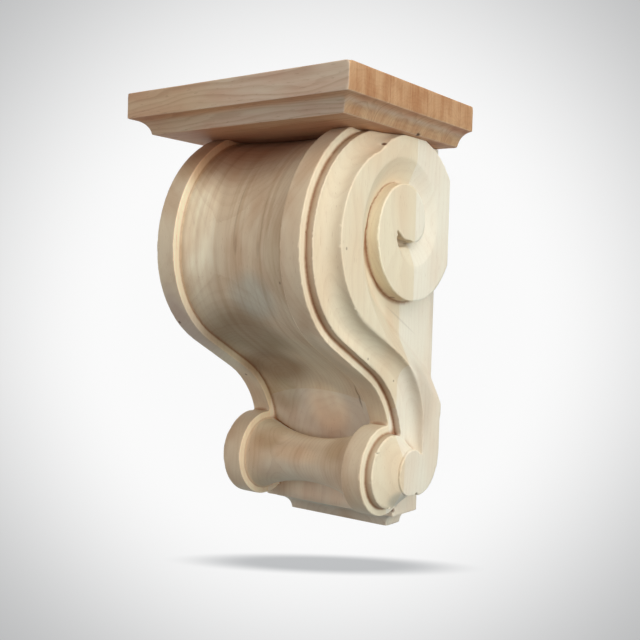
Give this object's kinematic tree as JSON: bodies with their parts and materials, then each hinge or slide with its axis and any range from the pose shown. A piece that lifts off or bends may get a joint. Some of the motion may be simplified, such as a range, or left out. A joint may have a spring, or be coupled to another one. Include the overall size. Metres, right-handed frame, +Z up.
{
  "type": "wooden scroll corbel bracket",
  "caption": "Carved wooden scroll corbel with a moulded square cap, volute sides, a hollowed front field and a rolled foot, cut flat at the back to fix to a wall.",
  "frame": {"origin": "middle of the flat back face, halfway up, where the corbel meets the wall", "axes": "+Y points out of the back into the wall, -Y is the front, +Z is up, X runs across the width"},
  "size_m": [0.203, 0.165, 0.327],
  "materials": {
    "cap_wood": "bare sanded maple, slightly darker and pinker than the body, with orange end grain",
    "body_wood": "bare sanded pale maple, matt, with faint tool marks"
  },
  "bodies": {
    "root": {"cap": "cap_wood", "scroll_body": "body_wood"}
  },
  "joints": []
}
